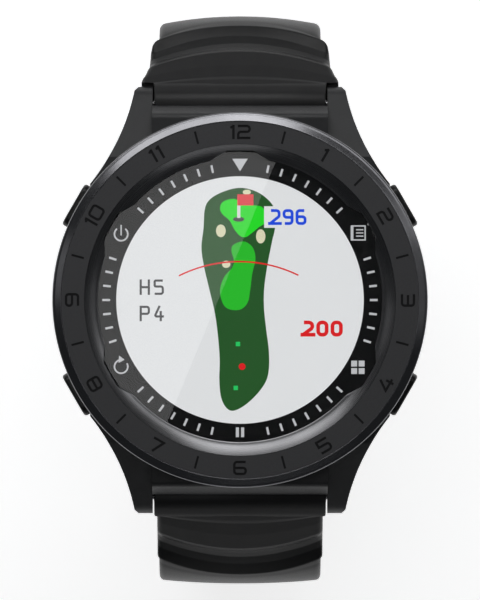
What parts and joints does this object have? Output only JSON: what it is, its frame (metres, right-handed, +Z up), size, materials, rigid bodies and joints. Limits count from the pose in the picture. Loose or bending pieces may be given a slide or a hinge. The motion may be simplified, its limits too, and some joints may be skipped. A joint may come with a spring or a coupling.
{
  "type": "golf gps watch",
  "caption": "Round wrist watch with a numbered bezel ring, course-map display, push buttons and a two-part rubber strap with buckle, standing open on its tail with the dial up.",
  "frame": {"origin": "on the table, straight under the middle of the dial", "axes": "+Z up out of the dial, +Y towards 12 o'clock, +X towards 3 o'clock"},
  "size_m": [0.0462, 0.0716, 0.0705],
  "materials": {
    "case_polymer": "fine matte, fibre-filled nylon",
    "bezel_metal": "dark hard-coated steel, polished slope",
    "insert_coating": "matte dark grey coating, engraved",
    "slope_metal": "dark hard-coated steel, satin",
    "lens_glass": "clear hardened glass",
    "seal_rubber": "silicone",
    "display_face": "reflective colour display",
    "inner_polymer": "moulded tray",
    "flex_film": "amber polyimide film",
    "board_laminate": "solder-masked laminate",
    "shield_steel": "pressed tin-plated steel",
    "screw_steel": "hex socket",
    "antenna_ceramic": "fired ceramic patch with silver face",
    "switch_steel": "side-press dome switches",
    "battery_foil": "pouch foil",
    "cover_steel": "circular brushed steel",
    "contact_gold": "gold-plated",
    "bar_steel": "turned stainless steel",
    "buckle_steel": "dark coated steel",
    "button_metal": "glossy black coated steel",
    "strap_rubber": "soft matte TPU"
  },
  "bodies": {
    "case": {"case_middle": "case_polymer", "bezel_ring": "bezel_metal", "bezel_insert": "insert_coating", "slope_ring": "slope_metal", "lens": "lens_glass", "lens_seal": "seal_rubber", "display_panel": "display_face", "display_frame": "inner_polymer", "display_flex": "flex_film", "main_board": "board_laminate", "board_shield": "shield_steel", "board_screws": "screw_steel", "gps_antenna": "antenna_ceramic", "button_switches": "switch_steel", "battery": "battery_foil", "vibration_motor": "shield_steel", "buzzer": "contact_gold", "back_cover": "cover_steel", "back_seal": "seal_rubber", "back_screws": "screw_steel", "charging_pins": "contact_gold", "upper_spring_bar": "bar_steel", "lower_spring_bar": "bar_steel", "upper_spring_bar_spring": "bar_steel", "lower_spring_bar_spring": "bar_steel", "upper_right_button_spring": "bar_steel", "lower_right_button_spring": "bar_steel", "upper_left_button_spring": "bar_steel", "lower_left_button_spring": "bar_steel"},
    "strap_buckle": {"strap_buckle_side": "strap_rubber", "fixed_keeper": "strap_rubber", "buckle_pin": "buckle_steel"},
    "strap_tail": {"strap_tail_side": "strap_rubber"},
    "keeper": {"free_keeper": "strap_rubber"},
    "frame": {"buckle_frame": "buckle_steel"},
    "tongue": {"buckle_tongue": "buckle_steel"},
    "upper_right_push": {"upper_right_button": "button_metal", "upper_right_button_seal": "seal_rubber", "upper_right_button_clip": "bar_steel"},
    "lower_right_push": {"lower_right_button": "button_metal", "lower_right_button_seal": "seal_rubber", "lower_right_button_clip": "bar_steel"},
    "upper_left_push": {"upper_left_button": "button_metal", "upper_left_button_seal": "seal_rubber", "upper_left_button_clip": "bar_steel"},
    "lower_left_push": {"lower_left_button": "button_metal", "lower_left_button_seal": "seal_rubber", "lower_left_button_clip": "bar_steel"},
    "upper_right_tip": {"upper_right_bar_tip": "bar_steel"},
    "upper_left_tip": {"upper_left_bar_tip": "bar_steel"},
    "lower_right_tip": {"lower_right_bar_tip": "bar_steel"},
    "lower_left_tip": {"lower_left_bar_tip": "bar_steel"}
  },
  "joints": [
    {"name": "strap_buckle_hinge", "type": "hinge", "parent": "case", "child": "strap_buckle", "pos_m": [0, 0.0244, 0.0603], "axis": [1, 0, 0], "range_deg": [-8, 60]},
    {"name": "strap_tail_hinge", "type": "hinge", "parent": "case", "child": "strap_tail", "pos_m": [0, -0.0244, 0.0603], "axis": [-1, 0, 0], "range_deg": [-8, 60]},
    {"name": "buckle_frame_hinge", "type": "hinge", "parent": "strap_buckle", "child": "frame", "pos_m": [0, -0.00822, 0.02613], "axis": [1, 0, 0], "range_deg": [-60, 40]},
    {"name": "tongue_hinge", "type": "hinge", "parent": "frame", "child": "tongue", "pos_m": [0, -0.00822, 0.02613], "axis": [1, 0, 0], "range_deg": [0, 80]},
    {"name": "free_keeper_slide", "type": "hinge", "parent": "strap_buckle", "child": "keeper", "pos_m": [0, 0.00929, 0.04659], "axis": [1, 0, 0], "range_deg": [-13, 32]},
    {"name": "upper_right_button_press", "type": "slide", "parent": "case", "child": "upper_right_push", "axis": [-0.866, -0.5, 0], "range_m": [0, 0.0006], "stiffness_N_per_m": 2500, "springref_m": -0.0002, "deforming": ["upper_right_button_spring"]},
    {"name": "lower_right_button_press", "type": "slide", "parent": "case", "child": "lower_right_push", "axis": [-0.866, 0.5, 0], "range_m": [0, 0.0006], "stiffness_N_per_m": 2500, "springref_m": -0.0002, "deforming": ["lower_right_button_spring"]},
    {"name": "upper_left_button_press", "type": "slide", "parent": "case", "child": "upper_left_push", "axis": [0.866, -0.5, 0], "range_m": [0, 0.0006], "stiffness_N_per_m": 2500, "springref_m": -0.0002, "deforming": ["upper_left_button_spring"]},
    {"name": "lower_left_button_press", "type": "slide", "parent": "case", "child": "lower_left_push", "axis": [0.866, 0.5, 0], "range_m": [0, 0.0006], "stiffness_N_per_m": 2500, "springref_m": -0.0002, "deforming": ["lower_left_button_spring"]},
    {"name": "upper_right_bar_release", "type": "slide", "parent": "case", "child": "upper_right_tip", "axis": [-1, 0, 0], "range_m": [0, 0.0012], "stiffness_N_per_m": 1500, "springref_m": -0.0003, "deforming": ["upper_spring_bar_spring"]},
    {"name": "upper_left_bar_release", "type": "slide", "parent": "case", "child": "upper_left_tip", "axis": [1, 0, 0], "range_m": [0, 0.0012], "stiffness_N_per_m": 1500, "springref_m": -0.0003, "deforming": ["upper_spring_bar_spring"]},
    {"name": "lower_right_bar_release", "type": "slide", "parent": "case", "child": "lower_right_tip", "axis": [-1, 0, 0], "range_m": [0, 0.0012], "stiffness_N_per_m": 1500, "springref_m": -0.0003, "deforming": ["lower_spring_bar_spring"]},
    {"name": "lower_left_bar_release", "type": "slide", "parent": "case", "child": "lower_left_tip", "axis": [1, 0, 0], "range_m": [0, 0.0012], "stiffness_N_per_m": 1500, "springref_m": -0.0003, "deforming": ["lower_spring_bar_spring"]}
  ]
}
